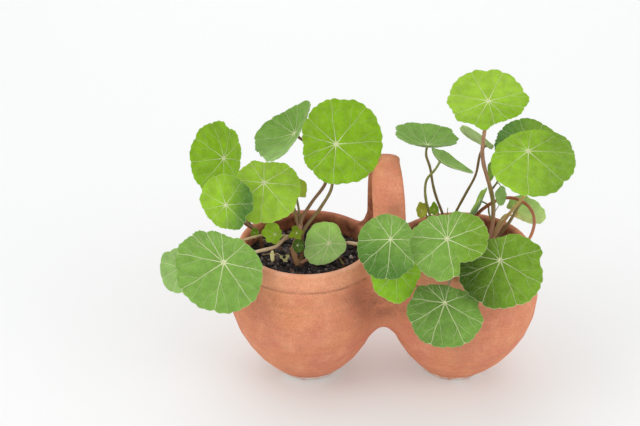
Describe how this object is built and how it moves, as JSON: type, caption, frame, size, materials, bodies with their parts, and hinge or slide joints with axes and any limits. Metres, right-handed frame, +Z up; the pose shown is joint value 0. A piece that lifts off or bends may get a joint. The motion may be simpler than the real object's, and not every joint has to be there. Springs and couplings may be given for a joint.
{
  "type": "potted nasturtium plant",
  "caption": "Nasturtium plants with round shield-shaped leaves on thin stalks, growing in a round twin-bowl terracotta pot with a strap handle.",
  "frame": {"origin": "middle of the bounding box, at the level of the floor that the pot's feet stand on", "axes": "+Z up; +X along the row of the two bowls, towards the fuller and taller plant; the front, where leaves hang over the rim, faces -Y"},
  "size_m": [0.2986, 0.1598, 0.2326],
  "materials": {
    "terracotta": "unglazed orange terracotta, mottled, with fine throwing rings and smoke marks",
    "potting_soil": "dark crumbly peat-based potting soil",
    "stalk": "smooth fleshy stalk, olive to reddish brown and cream",
    "leaf": "matte fresh green blade with pale radiating veins",
    "young_leaf": "matte yellow-green young blade with pale radiating veins",
    "mature_leaf": "matte blue-green mature blade with pale radiating veins",
    "pale_leaf": "pale grey-green blade"
  },
  "bodies": {
    "root": {"twin_pot": "terracotta", "soil_left": "potting_soil", "soil_right": "potting_soil", "left_shoot_main": "stalk", "left_shoot_young": "stalk", "left_shoot_back": "stalk", "right_shoot_main": "stalk", "right_shoot_loop": "stalk", "right_shoot_back": "stalk", "right_shoot_front": "stalk", "left_leaf_01": "leaf", "left_leaf_02": "mature_leaf", "left_leaf_03": "leaf", "left_leaf_04": "leaf", "left_leaf_05": "young_leaf", "left_leaf_06": "young_leaf", "left_leaf_07": "mature_leaf", "left_leaf_08": "pale_leaf", "left_leaf_09": "pale_leaf", "left_leaf_10": "leaf", "left_leaf_11": "young_leaf", "left_leaf_12": "leaf", "left_leaf_13": "leaf", "left_leaf_14": "mature_leaf", "right_leaf_01": "young_leaf", "right_leaf_02": "leaf", "right_leaf_03": "leaf", "right_leaf_04": "mature_leaf", "right_leaf_05": "mature_leaf", "right_leaf_06": "mature_leaf", "right_leaf_07": "pale_leaf", "right_leaf_08": "leaf", "right_leaf_09": "leaf", "right_leaf_10": "young_leaf", "right_leaf_11": "leaf", "right_leaf_12": "mature_leaf", "right_leaf_13": "mature_leaf", "right_leaf_14": "leaf", "right_leaf_15": "young_leaf"}
  },
  "joints": []
}
